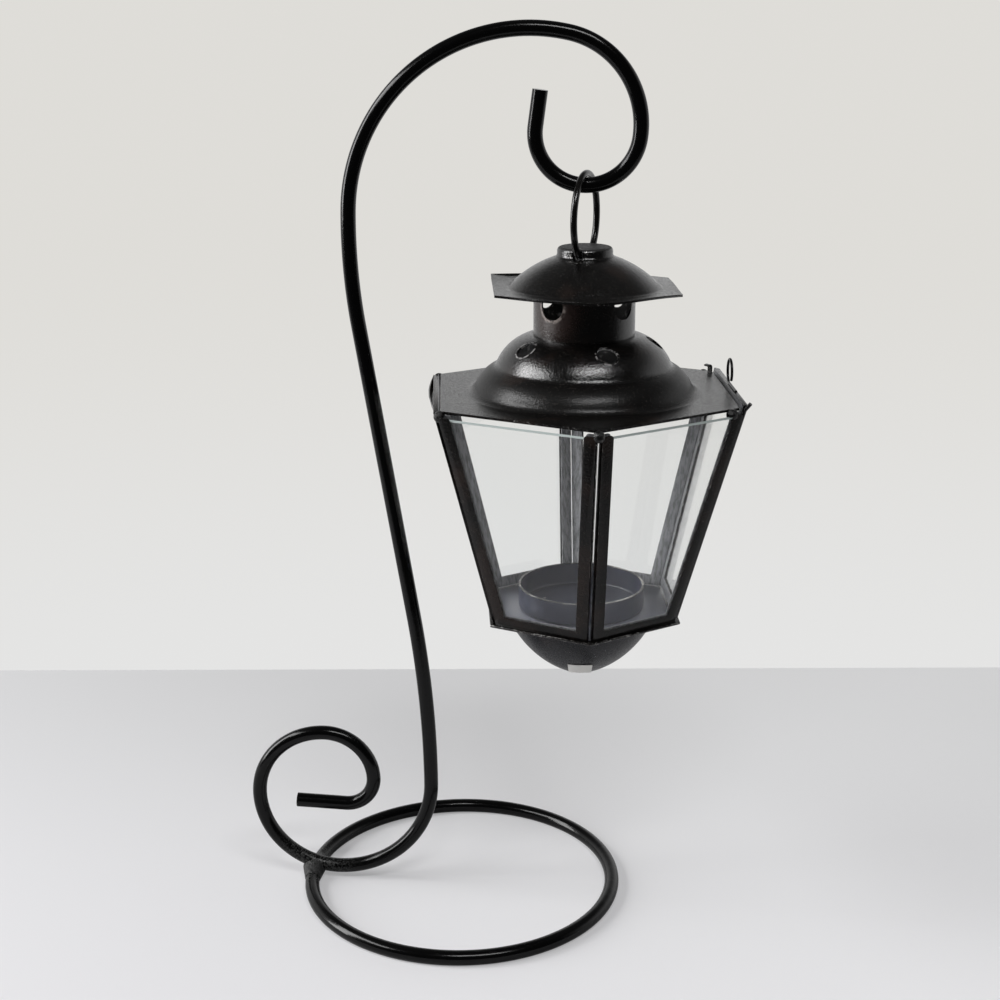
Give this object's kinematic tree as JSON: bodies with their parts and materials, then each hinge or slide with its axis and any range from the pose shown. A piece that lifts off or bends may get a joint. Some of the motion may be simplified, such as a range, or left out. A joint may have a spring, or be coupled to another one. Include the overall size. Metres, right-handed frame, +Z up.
{
  "type": "hanging candle lantern",
  "caption": "Six-sided glazed tealight lantern with a domed roof and hinged door, hanging by a wire ring from a bent rod stand with a scrolled foot and base ring.",
  "frame": {"origin": "centre of the base ring on the floor", "axes": "+Z up; +X in the plane of the bent rod, from its foot scroll towards the hook; +Y away from the side that faces the viewer"},
  "size_m": [0.171, 0.113, 0.2998],
  "materials": {
    "rod_paint": "glossy black paint on steel rod",
    "wire": "dark wire",
    "lantern_paint": "black paint on sheet metal, finely grained and worn at the edges",
    "cup_paint": "black paint with a bare rim",
    "glass": "clear",
    "solder": "solder, mostly painted over",
    "label_paper": "blank paper"
  },
  "bodies": {
    "stand": {"stand_rod": "rod_paint", "base_ring": "rod_paint", "weld_beads": "rod_paint"},
    "ring": {"hanging_ring": "wire"},
    "lantern": {"cap": "lantern_paint", "chimney": "lantern_paint", "roof": "lantern_paint", "roof_tab": "lantern_paint", "base_plate": "lantern_paint", "candle_cup": "cup_paint", "bowl": "lantern_paint", "paper_label": "label_paper", "frame_front_right": "lantern_paint", "frame_back_right": "lantern_paint", "frame_back_left": "lantern_paint", "frame_left": "lantern_paint", "frame_front_left": "lantern_paint", "pane_front_right": "glass", "pane_back_right": "glass", "pane_back_left": "glass", "pane_left": "glass", "pane_front_left": "glass", "solder_beads": "solder"},
    "door": {"door_frame": "lantern_paint", "door_pane": "glass", "door_pull": "wire", "hinge_pin": "wire"}
  },
  "joints": [
    {"name": "ring_swing", "type": "hinge", "parent": "stand", "child": "ring", "pos_m": [0.04174, 0, 0.24935], "axis": [1, 0, 0], "range_deg": [-40, 40]},
    {"name": "lantern_sway", "type": "hinge", "parent": "ring", "child": "lantern", "pos_m": [0.04174, 0, 0.22823], "axis": [0.225, 0.9744, 0], "range_deg": [-30, 9]},
    {"name": "door_hinge", "type": "hinge", "parent": "lantern", "child": "door", "pos_m": [0.07342, -0.01332, 0.10823], "axis": [-0.2555, 0.1074, -0.9608], "range_deg": [0, 105]}
  ]
}
